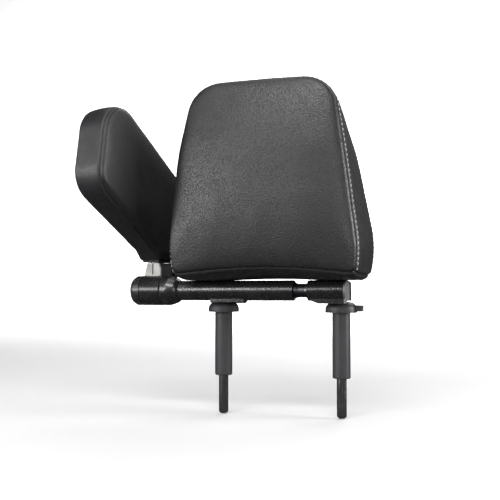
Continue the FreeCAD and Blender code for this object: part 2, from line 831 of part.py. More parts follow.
# ---- friction hub: casting, spindle, collar, springs and knob
def build_hub(grub_seat):
    hub = dim("hub_radius")
    tube = dim("tube_radius")
    bore = dim("spindle_radius") + 0.05
    left = -dim("casting_left")
    shoulder = -dim("casting_shoulder")
    tube_end = -dim("tube_left")
    spigot_end = tube_end + 18.0
    outline = [
        (left, bore),
        (left, hub - 0.6),
        (left + 0.6, hub),
        (shoulder, hub),
        (shoulder + 10.0, hub - 3.2),
        (tube_end, tube),
        (tube_end, dim("tube_bore")),
        (spigot_end, dim("tube_bore")),
        (spigot_end, bore),
    ]
    casting = turned("casting_body", outline)
    knee = (shoulder.value, hub.value), (shoulder.value + 10.0, hub.value - 3.2)
    rounded(casting, 12.0, lambda e: any(is_ring(e, x, r) for x, r in knee))
    keep("hub_casting", without("casting_cut", on_bar(casting), grub_seat))

    head = spigot_end + 6.0
    knob_left = -dim("knob_left")
    tip = knob_left + 3.6
    step = -dim("collar_left") + 0.6
    outline = [
        (head, 0),
        (head, 8.0),
        (spigot_end, 8.0),
        (spigot_end, dim("spindle_radius")),
        (step, dim("spindle_radius")),
        (step, dim("thread_radius")),
        (tip, dim("thread_radius")),
        (tip, 0),
    ]
    keep("hub_spindle", on_bar(turned("spindle_body", outline)))

    gap = dim("running_gap")
    disc_left = left - dim("disc_thick")
    running = dim("spindle_radius") + gap
    outline = [(disc_left, bore), (disc_left, dim("disc_radius")), (left, dim("disc_radius")), (left, bore)]
    keep("friction_disc", on_bar(turned("disc_body", outline)))

    collar_right = -dim("collar_right")
    collar_left = -dim("collar_left")
    recess = collar_left + dim("collar_recess")
    outline = [
        (collar_left, dim("collar_recess_radius")),
        (collar_left, hub - 0.8),
        (collar_left + 0.8, hub),
        (collar_right - 0.8, hub),
        (collar_right, hub - 0.8),
        (collar_right, dim("bush_radius")),
        (recess, dim("bush_radius")),
        (recess, dim("collar_recess_radius")),
    ]
    collar = on_bar(turned("collar_body", outline))
    x = -dim("arm_x")
    y = -dim("arm_y")
    deep = dim("arm_half_depth")
    foot = dim("bar_height") + dim("neck_foot")
    slot = block(
        "collar_slot",
        (x - dim("tenon_half"), y - deep, foot),
        (x + dim("tenon_half"), y + deep, foot + 20.0),
    )
    keep("swing_collar", without("collar_cut", collar, slot))
    outline = [
        (recess, running),
        (recess, dim("bush_radius")),
        (collar_right, dim("bush_radius")),
        (collar_right, running),
    ]
    keep("collar_bush", on_bar(turned("bush_body", outline)))

    washers = []
    for number, lean in enumerate((1, -1)):
        start = collar_left + 0.3 + 2.0 * number
        rise = (0.9, 0.0) if lean > 0 else (0.0, 0.9)
        outline = [
            (start + rise[0], running + 0.3),
            (start + rise[0] + 1.0, running + 0.3),
            (start + rise[1] + 1.0, dim("collar_recess_radius") - 0.8),
            (start + rise[1], dim("collar_recess_radius") - 0.8),
        ]
        washers.append(on_bar(turned(f"disc_spring_{number}", outline)))
    keep("disc_springs", grouped("disc_spring_set", washers))

    knob_right = -dim("knob_right")
    floor = tip - 0.5
    outline = [
        (knob_left, 0),
        (knob_left, dim("knob_end_radius") - 1.5),
        (knob_left + 1.2, dim("knob_end_radius")),
        (knob_left + 5.5, dim("knob_radius")),
        (knob_right, dim("knob_radius")),
        (knob_right, dim("insert_radius")),
        (floor, dim("insert_radius")),
        (floor, 0),
    ]
    knob = turned("knob_body", outline)
    groove = knob.newObject("PartDesign::Pocket", "knob_groove")
    half = dim("grip_groove")
    rim = dim("knob_radius")
    floor_half = half * 0.5
    depth = dim("grip_depth")
    outline = [
        (-half, rim + 1.0),
        (half, rim + 1.0),
        (floor_half, rim - depth),
        (-floor_half, rim - depth),
    ]
    groove.Profile = sketched(knob, "YZ_Plane", outline)
    groove.Type = "ThroughAll"
    groove.Midplane = True
    doc.recompute()
    ring = knob.newObject("PartDesign::PolarPattern", "knob_grooves")
    ring.Originals = [groove]
    ring.Axis = (next(f for f in knob.Origin.OriginFeatures if f.Role == "X_Axis"), [""])
    ring.Angle = 360
    ring.Occurrences = GRIP_GROOVES
    knob.Tip = ring
    keep("tension_knob", on_bar(knob))
    outline = [
        (floor + 0.3, dim("thread_radius") + gap),
        (floor + 0.3, dim("insert_radius")),
        (knob_right, dim("insert_radius")),
        (knob_right, dim("thread_radius") + gap),
    ]
    keep("knob_insert", on_bar(turned("insert_body", outline)))


# ---- arm of the wing
def build_arm():
    axis_y = -dim("bar_depth")
    axis_z = dim("bar_height")
    x = -dim("arm_x")
    y = -dim("arm_y")
    deep = dim("arm_half_depth")
    top = dim("arm_top")
    low_z = axis_z + dim("neck_foot")
    low = dim("arm_half_low")
    high = dim("arm_half_top")
    knee = top - 8.0
    outline = [
        (x - low, low_z),
        (x + low, low_z),
        (x + low, knee),
        (x + high, top),
        (x - high + 1.0, top),
        (x - low + 1.4, knee),
        (x - low, knee - 8.0),
    ]
    blade = extruded("neck_blade", "XZ_Plane", outline, deep * 2, -y - deep)
    front = (y - deep).value
    rounded(blade, 2.2, lambda e: abs(middle(e).y - front) < 0.01 and e.BoundBox.ZLength > 5.0)
    sweep = bar_rod("hub_sweep", dim("hub_radius") + 0.4, x - 25.0, x + 40.0)
    crease = extruded(
        "neck_crease",
        "XY_Plane",
        [(x - 1.3, y - deep - 0.5), (x + 1.3, y - deep - 0.5), (x, y - deep + 1.2)],
        top,
        0.0,
    )
    tenon = block(
        "neck_tenon",
        (x - dim("tenon_half"), y - deep, low_z),
        (x + dim("tenon_half"), y + deep, axis_z + dim("hub_radius") + 1.5),
    )
    pin_way = rod("neck_pin_way", dim("pin_radius"), 40.0, (x, y, top - 16.0))
    notch = rod("neck_notch", 1.8, 3.0, (x, y - deep - 0.5, axis_z + dim("hub_radius") + 0.4), "y")
    body = joined("neck_joined", without("neck_shaped", blade, sweep, crease, notch), tenon)

    bracket_right = x + 27.0
    outline = [
        (y - deep + 1.5, axis_z + 12.0),
        (y + deep + 7.0, axis_z + 12.0),
        (y + deep + 7.0, top - 7.0),
        (y + deep + 2.0, top - 0.4),
        (y - deep + 4.0, top - 0.4),
        (y - deep + 1.5, top - 4.0),
    ]
    lug = extruded("lug_body", "YZ_Plane", outline, 17.0, bracket_right - 17.0)
    face = bracket_right.value
    rounded(lug, 2.5, lambda e: lies_in(e, X_AXIS, face) and middle(e).z > axis_z.value + 13.0)
    bolts = []
    for number, (dy, dz) in enumerate(((-1.0, 24.0), (7.5, 28.0))):
        spot = (bracket_right - 2.0, y + dy, axis_z + dz)
        bolts.append(
            socket_screw(
                f"arm_bolt_{number}", 1.6, 13.0 + 4.0 * (1 - number), 2.9, 2.8, spot,
                FreeCAD.Rotation(Y_AXIS, 90),
            )
        )
    bolt_set, bolt_holes = screw_group("arm_bolt_set", bolts)
    keep("arm_bolts", bolt_set)
    keep("arm_neck", without("neck_cut", body, pin_way, bolt_holes))
    keep("arm_bracket", without("lug_cut", lug, sweep, blade, bolt_holes))

    pin_low = top - 16.0
    radius = dim("pin_radius")
    groove = dim("pin_top") - 2.8
    outline = [
        (0, pin_low),
        (radius, pin_low),
        (radius, groove),
        (radius - 0.8, groove),
        (radius - 0.8, groove + 1.2),
        (radius, groove + 1.2),
        (radius, dim("pin_top") - 0.8),
        (radius - 0.8, dim("pin_top")),
        (0, dim("pin_top")),
    ]
    keep("yaw_pin", place(turned("pin_body", outline, "V_Axis"), (x, y, 0)))
    ring = rod("clip_outer", radius + 1.9, 1.0, (x, y, groove + 0.1))
    hole = rod("clip_inner", radius - 0.75, 3.0, (x, y, groove - 1.0))
    mouth = block("clip_mouth", (x - 1.5, y, groove - 1.0), (x + 1.5, y + 12.0, groove + 3.0))
    keep("pin_circlip", without("clip_cut", ring, hole, mouth))


# ---- side wing, built about its yaw pin and then turned out by its flare
WING_CORNERS = {
    # corner name: (reach forward of the pin, height above the seat top, rounding)
    "heel": (6.0, DIMENSIONS["wing_bottom"], 14.0),
    "nose": (139.5, 151.0, 38.0),
    "top": (121.5, 271.0, 36.0),
    "shoulder": (-39.0, 172.0, 30.0),
    "tail": (-39.0, DIMENSIONS["wing_bottom"], 14.0),
}


def inset_outline(corners, inset):
    """Move every side of a closed outline inwards by the inset and meet them again."""
    moved = []
    count = len(corners)
    for number in range(count):
        before, here, after = (corners[(number + k) % count] for k in (-1, 0, 1))
        first = Vector(here[0] - before[0], here[1] - before[1], 0).normalize()
        second = Vector(after[0] - here[0], after[1] - here[1], 0).normalize()
        inward = Vector(-first.y, first.x, 0) + Vector(-second.y, second.x, 0)
        scale = inset / (1 + first.dot(second))
        moved.append((here[0] + inward.x * scale, here[1] + inward.y * scale))
    return moved


def wing_block(name, inset, outer, inner, rim):
    """The wing's outline, inset all round, between two depths from the pin."""
    corners = [(reach, height) for reach, height, _ in WING_CORNERS.values()]
    points = inset_outline(corners, inset)
    outline = [(-reach, height) for reach, height in points]
    body = extruded(name, "YZ_Plane", outline, Size.of(outer) + inner, -Size.of(outer))
    for (reach, height), (_, _, radius) in zip(points, WING_CORNERS.values()):
        corner = Vector(0, -reach, height)
        rounded(
            body,
            radius - inset,
            lambda e, c=corner: runs_along(e, X_AXIS)
            and (Vector(0, middle(e).y, middle(e).z) - c).Length < 0.01,
        )
    if rim:
        for face in (-Size.of(outer).value, Size.of(inner).value):
            rounded(body, rim, lambda e, f=face: lies_in(e, X_AXIS, f))
    return body


def in_wing(thing):
    """Turn a piece built about the pin out by the flare and carry it to the arm."""
    spot = Vector(-dim("arm_x").value, -dim("arm_y").value, 0)
    pose = FreeCAD.Placement(spot, FreeCAD.Rotation(Z_AXIS, -dim("wing_flare").value))
    thing.Placement = pose.multiply(thing.Placement)
    return thing


def build_wing():
    thick = dim("cover_thick")
    bottom = dim("wing_bottom")
    inner = dim("wing_inner")
    outer = dim("wing_outer")
    rim = dim("wing_rim")
    plane = -dim("board_inner")
    outer_form = wing_block("wing_outer_form", 0.0, outer, inner, rim)
    inner_form = wing_block("wing_inner_form", thick.value, outer - thick, inner - thick, rim - thick)
    board = wing_block("wing_board_body", dim("board_inset").value, dim("board_outer"), plane, None)

    pin = dim("pin_radius")
    tube = pin + 3.5
    tube_low = bottom + 2.5
    tube_high = dim("pin_top") - 3.0
    plate_high = dim("pin_top") + dim("plate_above_pin")
    plate_low = bottom + dim("plate_rise")
    plate_half = dim("plate_half")
    plate_face = plane + dim("plate_thick")
    bearing = rod("bearing_tube", tube, tube_high - tube_low, (0, 0, tube_low))
    plate = block("bearing_plate", (plane, -plate_half, plate_low), (plate_face, plate_half, plate_high))
    bearing_way = rod("bearing_way", pin + dim("running_gap"), 80.0, (0, 0, tube_low - 5.0))
    screws = []
    for number, (y, z) in enumerate(((-17.0, 112.0), (17.0, 112.0), (-17.0, 140.0), (17.0, 140.0))):
        screws.append(
            socket_screw(
                f"board_screw_{number}", 2.0, 6.4, 3.6, 1.6,
                (plate_face, y, z), FreeCAD.Rotation(Y_AXIS, 90),
            )
        )
    screw_set, holes = screw_group("board_screw_set", screws)
    hinge = without("bearing_cut", joined("bearing_joined", bearing, plate), bearing_way, holes)
    board_cut = without("board_cut", board, holes)

    trim_top = bottom + dim("trim_height")
    near_corner = (-13.0, -8.0)
    far_corner = (11.0, 32.0, trim_top)
    trim_zone = block("trim_zone", (*near_corner, bottom - 1.0), far_corner)
    trim_plate = block("trim_plate", (*near_corner, bottom), far_corner)
    trim_hole = rod("trim_hole", pin + 0.4, 20.0, (0, 0, bottom - 5.0))
    trim = without("trim_cut", trim_plate, trim_hole)

    far = 300.0
    inner_side = block("inner_side", (plane, -far, 0), (far, far, far))
    outer_side = block("outer_side", (-far, -far, 0), (plane, far, far))
    room = joined(
        "bearing_room",
        rod("bearing_space", tube + 0.3, dim("pin_top") - bottom + 2.0, (0, 0, bottom - 1.0)),
        block("plate_space", (plane, -plate_half, plate_low), (plate_face + 2.0, plate_half, plate_high)),
        trim_zone,
    )
    foam_inner = without("foam_inner_cut", within("foam_inner_half", inner_form, inner_side), room)
    foam_outer = without(
        "foam_outer_cut", within("foam_outer_half", inner_form, outer_side), board, trim_zone
    )
    skin = without("wing_skin", outer_form, inner_form, room)
    seam_inner = dim("seam_inner")
    seam_outer = -dim("seam_outer")
    zones = {
        "wing_cover_inner": (seam_inner, far),
        "wing_gusset": (seam_outer, seam_inner),
        "wing_cover_outer": (-far, seam_outer),
    }
    for name, (start, end) in zones.items():
        zone = block(f"{name}_zone", (start, -far, 0), (end, far, far))
        keep(name, in_wing(within(f"{name}_panel", skin, zone)))
    keep("wing_bracket", in_wing(hinge))
    keep("wing_board", in_wing(board_cut))
    keep("board_screws", in_wing(screw_set))
    keep("wing_foam_inner", in_wing(foam_inner))
    keep("wing_foam_outer", in_wing(foam_outer))
    keep("wing_bottom_trim", in_wing(trim))


build_guides()
build_cushion(build_armature())
build_hub(build_bar())
build_clamps()
build_arm()
build_wing()
doc.recompute()

for thing in doc.Objects:
    assert not {"Invalid", "Error"} & set(thing.State), f"{thing.Name} failed: {thing.State}"
for name, thing in nodes.items():
    assert not thing.Shape.isNull() and thing.Shape.isValid(), f"{name} has no valid shape"

os.makedirs("parts", exist_ok=True)
for name, thing in nodes.items():
    thing.Shape.exportStep(os.path.join("parts", f"{name}.step"))
    print(f"{name:22s} solids {len(thing.Shape.Solids)}  volume {thing.Shape.Volume / 1000:9.2f} cm3")
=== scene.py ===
"""Looks of the adjustable head restraint: padded leather, seams, stitching, metals and plastics.

Metres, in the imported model's frame: +X towards the release button, -Y towards the camera, +Z up.
"""
import json
import math

import bpy
import numpy as np
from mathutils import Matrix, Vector, noise
from mathutils.kdtree import KDTree


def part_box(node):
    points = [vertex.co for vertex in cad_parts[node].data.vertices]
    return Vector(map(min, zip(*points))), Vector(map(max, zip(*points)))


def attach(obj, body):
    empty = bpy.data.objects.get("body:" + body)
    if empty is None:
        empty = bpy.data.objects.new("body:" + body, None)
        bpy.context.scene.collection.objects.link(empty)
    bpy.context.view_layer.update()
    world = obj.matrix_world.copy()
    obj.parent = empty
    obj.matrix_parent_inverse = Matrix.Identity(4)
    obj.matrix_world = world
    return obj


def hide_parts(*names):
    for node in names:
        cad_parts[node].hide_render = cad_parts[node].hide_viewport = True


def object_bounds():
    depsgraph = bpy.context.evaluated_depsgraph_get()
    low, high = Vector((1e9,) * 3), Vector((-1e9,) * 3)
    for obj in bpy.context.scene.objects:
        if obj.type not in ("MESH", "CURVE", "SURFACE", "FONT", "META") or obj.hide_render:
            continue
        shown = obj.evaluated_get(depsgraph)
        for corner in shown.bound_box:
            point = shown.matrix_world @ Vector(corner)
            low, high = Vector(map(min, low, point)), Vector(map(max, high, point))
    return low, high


MM = 0.001
CLOTH_CELL = 4.5 * MM
CLOTH_FRAMES = 20
IRONING_ROUNDS = 10
PAD_CELL = 2.2 * MM

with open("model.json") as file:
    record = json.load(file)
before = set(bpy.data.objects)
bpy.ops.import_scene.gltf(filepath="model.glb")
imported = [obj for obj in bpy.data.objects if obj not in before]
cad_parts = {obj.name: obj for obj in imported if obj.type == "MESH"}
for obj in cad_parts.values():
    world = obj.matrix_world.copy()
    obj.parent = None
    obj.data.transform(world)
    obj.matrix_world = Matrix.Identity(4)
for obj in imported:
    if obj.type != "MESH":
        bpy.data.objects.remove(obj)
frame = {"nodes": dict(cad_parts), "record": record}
cad_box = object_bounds()


# ------------------------------------------------------------------ materials
class Surface:
    """A node material with one Principled shader, and short ways to add and link nodes."""

    def __init__(self, name, colour, roughness, metallic=0.0, specular=0.5):
        self.material = bpy.data.materials.new(name)
        self.material.use_nodes = True
        self.tree = self.material.node_tree
        self.shader = self.tree.nodes["Principled BSDF"]
        self.set("Base Color", (*colour, 1.0))
        self.set("Roughness", roughness)
        self.set("Metallic", metallic)
        self.set("Specular IOR Level", specular)
        self.where = self.tree.nodes.new("ShaderNodeTexCoord").outputs["Object"]

    def set(self, socket, value):
        self.shader.inputs[socket].default_value = value

    def wire(self, value, socket):
        if isinstance(value, bpy.types.NodeSocket):
            self.tree.links.new(value, socket)
        else:
            socket.default_value = value

    def node(self, kind, output, inputs=(), **properties):
        node = self.tree.nodes.new(kind)
        for key, value in properties.items():
            setattr(node, key, value)
        for key, value in dict(inputs).items():
            self.wire(value, node.inputs[key])
        return node.outputs[output]

    def stretched(self, scale):
        return self.node(
            "ShaderNodeMapping", "Vector", {"Vector": self.where, "Scale": scale}
        )

    def noise(self, size, detail=3.0, rough=0.55, where=None, distortion=0.0):
        """Noise whose blobs are about one size across, in metres."""
        values = {
            "Vector": where or self.where, "Scale": 1.0 / size, "Detail": detail,
            "Roughness": rough, "Distortion": distortion,
        }
        return self.node("ShaderNodeTexNoise", "Fac", values)

    def cells(self, size, smooth=0.35, where=None):
        """Rounded cells about one size across, in metres: 0 at their middles."""
        values = {"Vector": where or self.where, "Scale": 1.0 / size, "Smoothness": smooth}
        return self.node("ShaderNodeTexVoronoi", "Distance", values, feature="SMOOTH_F1")

    def math(self, kind, first, second=0.0):
        return self.node("ShaderNodeMath", "Value", {0: first, 1: second}, operation=kind)

    def span(self, value, low, high, out_low, out_high):
        values = {
            "Value": value, "From Min": low, "From Max": high, "To Min": out_low, "To Max": out_high,
        }
        return self.node("ShaderNodeMapRange", "Result", values, clamp=True)

    def blend(self, factor, first, second):
        node = self.tree.nodes.new("ShaderNodeMix")
        node.data_type = "RGBA"
        self.wire(factor, node.inputs["Factor"])
        colours = [s for s in node.inputs if s.type == "RGBA"]
        for socket, colour in zip(colours, (first, second)):
            self.wire(colour if isinstance(colour, bpy.types.NodeSocket) else (*colour, 1.0), socket)
        return next(s for s in node.outputs if s.type == "RGBA")

    def colour(self, socket):
        self.wire(socket, self.shader.inputs["Base Color"])

    def roughness(self, socket):
        self.wire(socket, self.shader.inputs["Roughness"])

    def bump(self, height, distance, strength=1.0, under=None):
        values = {"Height": height, "Distance": distance, "Strength": strength}
        if under is not None:
            values["Normal"] = under
        result = self.node("ShaderNodeBump", "Normal", values)
        self.wire(result, self.shader.inputs["Normal"])
        return result


def leather(name, colour, grain, depth, roughness):
    """Pebbled hide: rounded grain cells, finer creases between them and slow shade changes."""
    s = Surface(name, colour, roughness, specular=0.5)
    warp = s.noise(grain * 5, detail=2.0)
    drift = s.node(
        "ShaderNodeTexNoise", "Color", {"Vector": s.where, "Scale": 0.5 / grain, "Detail": 1.0}
    )
    offset = s.node(
        "ShaderNodeVectorMath", "Vector", {0: drift, 1: (grain * 0.4,) * 3}, operation="MULTIPLY"
    )
    bent = s.node("ShaderNodeVectorMath", "Vector", {0: s.where, 1: offset}, operation="ADD")
    pebbles = s.cells(grain, where=bent)
    small = s.cells(grain * 0.45, where=bent)
    pores = s.noise(grain * 0.22, detail=2.0)
    height = s.math("ADD", s.math("MULTIPLY", pebbles, -1.0), s.math("MULTIPLY", small, -0.35))
    height = s.math("ADD", height, s.math("MULTIPLY", pores, 0.12))
    s.bump(height, depth)
    valley = s.span(pebbles, 0.25, 0.75, 0.0, 1.0)
    patch = s.span(s.noise(0.06, detail=3.0), 0.35, 0.7, 0.0, 1.0)
    dark = tuple(c * 0.55 for c in colour)
    pale = tuple(c * 1.35 for c in colour)
    s.colour(s.blend(valley, s.blend(patch, colour, pale), dark))
    gloss = s.math("ADD", s.span(valley, 0.0, 1.0, roughness - 0.05, roughness + 0.16),
                   s.span(warp, 0.3, 0.7, -0.03, 0.04))
    s.roughness(gloss)
    return s.material


def powder_coat():
    """Black textured powder coat: fine hard grit over faint orange peel, with dusty patches."""
    s = Surface("powder_coat", (0.010, 0.010, 0.0105), 0.3, specular=0.85)
    grit = s.cells(0.0011, smooth=0.5)
    peel = s.noise(0.0026, detail=3.0)
    dust = s.span(s.noise(0.018, detail=4.0), 0.45, 0.8, 0.0, 1.0)
    height = s.math("ADD", s.math("MULTIPLY", grit, -0.8), s.math("MULTIPLY", peel, 0.25))
    s.bump(height, 0.00009)
    s.colour(s.blend(dust, (0.009, 0.009, 0.0095), (0.013, 0.013, 0.0135)))
    s.roughness(s.math("ADD", s.span(peel, 0.3, 0.7, 0.22, 0.3), s.math("MULTIPLY", dust, 0.05)))
    return s.material


def satin_black():
    """Satin black anodising over fine turning marks round the bar's axis."""
    s = Surface("satin_black", (0.010, 0.010, 0.0105), 0.28, specular=0.5)
    turning = s.noise(0.0006, detail=3.0, where=s.stretched((1.0, 0.02, 0.02)))
    mottle = s.noise(0.004, detail=3.0)
    rubbed = s.span(s.noise(0.011, detail=4.0), 0.5, 0.8, 0.0, 1.0)
    s.bump(turning, 0.00003)
    s.colour(s.blend(rubbed, (0.009, 0.009, 0.0095), (0.02, 0.02, 0.0205)))
    s.roughness(s.math("ADD", s.span(turning, 0.3, 0.7, 0.19, 0.27), s.span(mottle, 0.3, 0.7, 0, 0.05)))
    return s.material


def brushed(name, colour, roughness, stretch, metallic=1.0, marks=0.0005):
    """Bright metal with a brushed grain along one direction and faint smudges."""
    s = Surface(name, colour, roughness, metallic=metallic)
    lines = s.noise(marks, detail=4.0, rough=0.6, where=s.stretched(stretch))
    smudge = s.noise(0.012, detail=4.0)
    s.bump(lines, 0.00003)
    pale = tuple(min(1.0, c * 1.12) for c in colour)
    dull = tuple(c * 0.8 for c in colour)
    s.colour(s.blend(s.span(smudge, 0.3, 0.75, 0.0, 1.0), s.blend(lines, colour, pale), dull))
    s.roughness(
        s.math("ADD", s.span(lines, 0.3, 0.7, roughness - 0.06, roughness + 0.08),
               s.span(smudge, 0.3, 0.7, -0.02, 0.06))
    )
    return s.material


def moulded(name, colour, roughness, texture, depth, specular=0.45):
    """Moulded plastic with a fine spark-eroded texture, and paler where hands rub it."""
    s = Surface(name, colour, roughness, specular=specular)
    fine = s.noise(texture, detail=3.0, rough=0.65)
    cloud = s.noise(0.02, detail=3.0)
    s.bump(fine, depth)
    scuffs = s.span(s.noise(0.0035, detail=5.0, rough=0.7), 0.58, 0.72, 0.0, 1.0)
    body = s.blend(s.span(cloud, 0.3, 0.7, 0.0, 1.0), colour, tuple(c * 1.3 for c in colour))
    s.colour(s.blend(scuffs, body, tuple(c * 1.5 + 0.003 for c in colour)))
    s.roughness(s.math("ADD", s.span(fine, 0.3, 0.7, roughness - 0.06, roughness + 0.08),
                       s.span(cloud, 0.3, 0.7, 0.0, 0.04)))
    return s.material


def soft_rubber(name, colour):
    s = Surface(name, colour, 0.75, specular=0.3)
    fine = s.noise(0.0006, detail=4.0)
    s.bump(fine, 0.00008)
    s.colour(s.blend(s.noise(0.006), colour, tuple(c * 1.6 for c in colour)))
    s.roughness(s.span(fine, 0.3, 0.7, 0.68, 0.85))
    return s.material


def open_foam():
    s = Surface("open_foam", (0.72, 0.68, 0.55), 0.9, specular=0.2)
    bubbles = s.cells(0.0016, smooth=0.2)
    s.bump(bubbles, 0.0006)
    s.colour(s.blend(bubbles, (0.55, 0.50, 0.38), (0.78, 0.74, 0.62)))
    return s.material


def plywood():
    s = Surface("plywood", (0.52, 0.38, 0.24), 0.6, specular=0.3)
    rings = s.noise(0.004, detail=5.0, where=s.stretched((1.0, 1.0, 0.12)), distortion=0.6)
    s.bump(rings, 0.00012)
    s.colour(s.blend(s.span(rings, 0.35, 0.65, 0, 1), (0.36, 0.24, 0.13), (0.62, 0.47, 0.31)))
    s.roughness(s.span(rings, 0.3, 0.7, 0.5, 0.7))
    return s.material


def sewing_thread():
    """Pale grey thread: a tight twist and loose fibres."""
    s = Surface("sewing_thread", (0.42, 0.42, 0.41), 0.7, specular=0.3)
    twist = s.noise(0.0004, detail=2.0)
    s.bump(twist, 0.00018)
    s.colour(s.blend(twist, (0.24, 0.24, 0.235), (0.55, 0.55, 0.53)))
    s.set("Sheen Weight", 0.3)
    return s.material


def studio_paper():
    s = Surface("studio_paper", (0.66, 0.66, 0.665), 0.9, specular=0.05)
    s.colour(s.blend(s.noise(0.5, detail=2.0), (0.65, 0.65, 0.655), (0.67, 0.67, 0.675)))
    return s.material


HIDE = leather("pebbled_leather", (0.012, 0.012, 0.0125), 0.0019, 0.00022, 0.38)
WING_HIDE = leather("fine_leather", (0.012, 0.012, 0.0135), 0.0014, 0.00012, 0.42)
THREAD = sewing_thread()
FINISHES = {
    "textured_black": powder_coat(),
    "satin_black": satin_black(),
    "bright_aluminium": brushed(
        "satin_aluminium", (0.26, 0.26, 0.25), 0.45, (1.0, 1.0, 0.03), metallic=0.7
    ),
    "dark_steel": brushed("dark_steel", (0.13, 0.13, 0.14), 0.34, (1.0, 0.03, 0.03)),
    "post_chrome": brushed("post_chrome", (0.78, 0.78, 0.79), 0.12, (1.0, 1.0, 0.05), marks=0.0009),
    "screw_steel": brushed("screw_steel", (0.10, 0.10, 0.11), 0.38, (1.0, 1.0, 1.0)),
    "spring_steel": brushed("spring_steel", (0.42, 0.42, 0.43), 0.3, (1.0, 1.0, 1.0)),
    "bronze": brushed("sintered_bronze", (0.42, 0.27, 0.12), 0.4, (1.0, 1.0, 1.0), marks=0.0012),
    "guide_plastic": moulded("guide_plastic", (0.022, 0.022, 0.024), 0.45, 0.0005, 0.00008),
    "knob_plastic": moulded("knob_plastic", (0.012, 0.012, 0.0125), 0.32, 0.0007, 0.00004, 0.85),
    "trim_plastic": moulded("trim_plastic", (0.010, 0.010, 0.0105), 0.55, 0.0006, 0.00006, 0.2),
    "core_plastic": moulded("core_plastic", (0.05, 0.05, 0.055), 0.55, 0.0008, 0.0001),
    "bush_plastic": moulded("bush_plastic", (0.62, 0.61, 0.57), 0.45, 0.0008, 0.00005),
    "friction_lining": soft_rubber("friction_lining", (0.02, 0.02, 0.02)),
    "liner_rubber": soft_rubber("liner_rubber", (0.015, 0.015, 0.015)),
    "foam": open_foam(),
    "board": plywood(),
    "leather": HIDE,
    "wing_leather": WING_HIDE,
}


BRACKET_BLACK = moulded("bracket_black", (0.006, 0.006, 0.0062), 0.6, 0.0008, 0.00004, 0.12)
NODE_FINISHES = {"arm_bracket": BRACKET_BLACK}


def finish_nodes():
    """Give every CAD node the material of its slot in the record, or its own duller one."""
    slots = {row["node"]: row["material_slot"] for row in frame["record"]["subparts"]}
    for name, node in frame["nodes"].items():
        material = NODE_FINISHES.get(name, FINISHES[slots[name]])
        if not node.data.materials:
            node.data.materials.append(material)
        for index in range(len(node.data.materials)):
            node.data.materials[index] = material


# ------------------------------------------------------------------ outlines and grids
def rounded_loop(corners):
    """Points round a closed outline whose corners (a, b, radius) are arcs, counter-clockwise."""
    points = []
    count = len(corners)
    for number in range(count):
        before, here, after = (np.array(corners[(number + k) % count][:2]) for k in (-1, 0, 1))
        radius = corners[number][2]
        back = (before - here) / np.linalg.norm(before - here)
        ahead = (after - here) / np.linalg.norm(after - here)
        half = math.acos(max(-1.0, min(1.0, float(back @ ahead)))) / 2
        reach = radius / math.tan(half)
        centre = here + (back + ahead) / np.linalg.norm(back + ahead) * radius / math.sin(half)
        start = here + back * reach - centre
        end = here + ahead * reach - centre
        turn = math.atan2(start[0] * end[1] - start[1] * end[0], float(start @ end))
        first = math.atan2(start[1], start[0])
        steps = max(4, int(abs(turn) / 0.05))
        for step in range(steps + 1):
            angle = first + turn * step / steps
            points.append(centre + radius * np.array([math.cos(angle), math.sin(angle)]))
    return np.array(points)


def dense(loop, step=0.7 * MM):
    """The same closed outline with points at even steps."""
    closed = np.concatenate([loop, loop[:1]])
    gaps = np.linalg.norm(np.diff(closed, axis=0), axis=1)
    length = np.concatenate([[0.0], np.cumsum(gaps)])
    places = np.linspace(0, length[-1], int(length[-1] / step), endpoint=False)
    return np.stack([np.interp(places, length, closed[:, k]) for k in (0, 1)], axis=1)


def drawn_in(loop, inset):
    """A closed counter-clockwise outline moved inwards by the inset, one value or one per point."""
    tangent = np.roll(loop, -1, axis=0) - np.roll(loop, 1, axis=0)
    tangent /= np.linalg.norm(tangent, axis=1)[:, None]
    inward = np.stack([-tangent[:, 1], tangent[:, 0]], axis=1)
    return loop + inward * np.broadcast_to(inset, len(loop))[:, None]


def swollen(loop, bulge):
    """A closed outline with two more columns: how far the edge strip bulges outwards there."""
    return np.concatenate([loop, loop - drawn_in(loop, bulge)], axis=1)


def split_sides(loop, corners):
    """Cut a closed outline at four places into bottom, right, top and left sides."""
    cuts = [int(np.argmin(np.linalg.norm(loop[:, :2] - np.array(c), axis=1))) for c in corners]

    def run(start, end):
        if end <= start:
            end += len(loop)
        return loop[[k % len(loop) for k in range(start, end + 1)]]

    low_left, low_right, top_right, top_left = cuts
    bottom = run(low_left, low_right)
    right = run(low_right, top_right)
    top = run(top_right, top_left)[::-1]
    left = run(top_left, low_left)[::-1]
    return bottom, right, top, left


def along(line, places):
    """Points on a polyline at fractions of its length in the plane of the pad."""
    gaps = np.linalg.norm(np.diff(line[:, :2], axis=0), axis=1)
    length = np.concatenate([[0.0], np.cumsum(gaps)])
    length /= length[-1]
    return np.stack([np.interp(places, length, line[:, k]) for k in range(line.shape[1])], axis=1)


def filled(sides, us, vs):
    """A grid of points inside four sides, blended from all of them."""
    bottom, right, top, left = (side[:, :2] for side in sides)
    low, high = along(bottom, us), along(top, us)
    west, east = along(left, vs), along(right, vs)
    u = us[:, None, None]
    v = vs[None, :, None]
    grid = (1 - v) * low[:, None] + v * high[:, None] + (1 - u) * west[None] + u * east[None]
    corners = (1 - u) * (1 - v) * low[0] + u * (1 - v) * low[-1] + (1 - u) * v * high[0] + u * v * high[-1]
    return grid - corners


